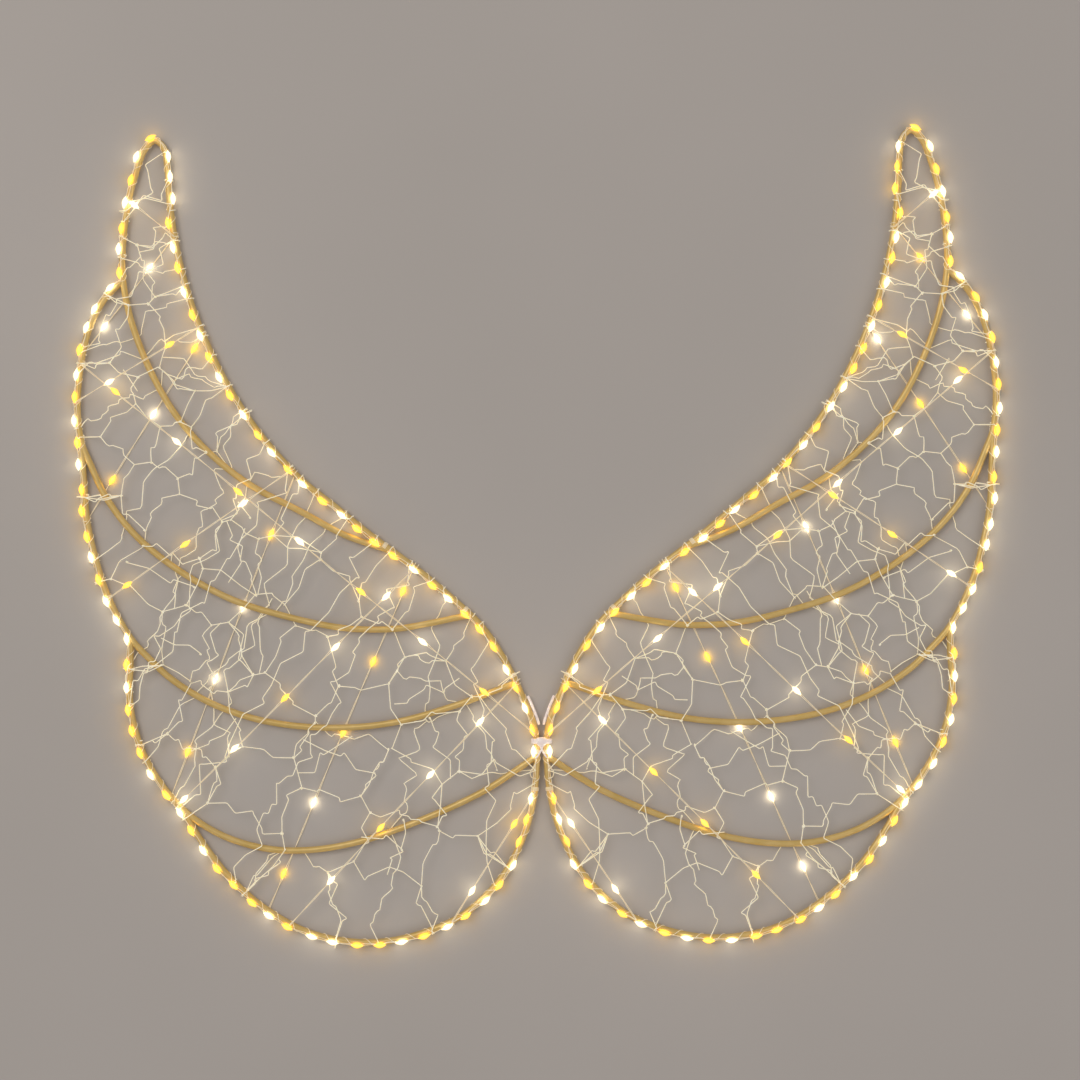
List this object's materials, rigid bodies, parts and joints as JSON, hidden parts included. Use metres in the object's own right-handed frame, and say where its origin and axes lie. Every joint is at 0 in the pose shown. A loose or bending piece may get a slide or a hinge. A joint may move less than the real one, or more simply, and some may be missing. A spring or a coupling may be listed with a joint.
{
  "type": "light-up wire angel wings",
  "caption": "A pair of gold wire angel wings with a crinkled wire web and strings of small warm lights, tied together at the foot.",
  "frame": {"origin": "middle of the surface that the wings lie on, under the middle of their bounding box", "axes": "+X towards the right wing, +Y from the feet up to the wing tips, +Z out of the wings' front"},
  "size_m": [0.6108, 0.541, 0.0111],
  "materials": {
    "gold_rod": "satin metallic gold",
    "web_wire": "bright crinkled champagne wire",
    "edge_lights": "clear resin drops on fine wire, lit warm white and amber",
    "strand_lights": "clear resin drops on fine wire, lit warm white and amber",
    "clear_plastic": "milky clear, slightly glossy"
  },
  "bodies": {
    "root": {"wing_rod_left_1": "gold_rod", "wing_rod_left_2": "gold_rod", "wing_rod_left_3": "gold_rod", "wing_rod_left_4": "gold_rod", "wing_rod_left_5": "gold_rod", "crinkle_web_left": "web_wire", "edge_light_string_left": "edge_lights", "light_strand_left_a": "strand_lights", "light_strand_left_b": "strand_lights", "light_strand_left_c": "strand_lights", "light_strand_left_d": "strand_lights", "light_strand_left_e": "strand_lights", "light_strand_left_f": "strand_lights", "light_strand_left_g": "strand_lights", "light_strand_left_h": "strand_lights", "light_strand_left_i": "strand_lights", "light_strand_left_j": "strand_lights", "light_strand_left_k": "strand_lights", "lead_sleeve_left": "clear_plastic", "wing_rod_right_1": "gold_rod", "wing_rod_right_2": "gold_rod", "wing_rod_right_3": "gold_rod", "wing_rod_right_4": "gold_rod", "wing_rod_right_5": "gold_rod", "crinkle_web_right": "web_wire", "edge_light_string_right": "edge_lights", "light_strand_right_a": "strand_lights", "light_strand_right_b": "strand_lights", "light_strand_right_c": "strand_lights", "light_strand_right_d": "strand_lights", "light_strand_right_e": "strand_lights", "light_strand_right_f": "strand_lights", "light_strand_right_g": "strand_lights", "light_strand_right_h": "strand_lights", "light_strand_right_i": "strand_lights", "light_strand_right_j": "strand_lights", "light_strand_right_k": "strand_lights", "lead_sleeve_right": "clear_plastic", "centre_tie": "clear_plastic"}
  },
  "joints": []
}
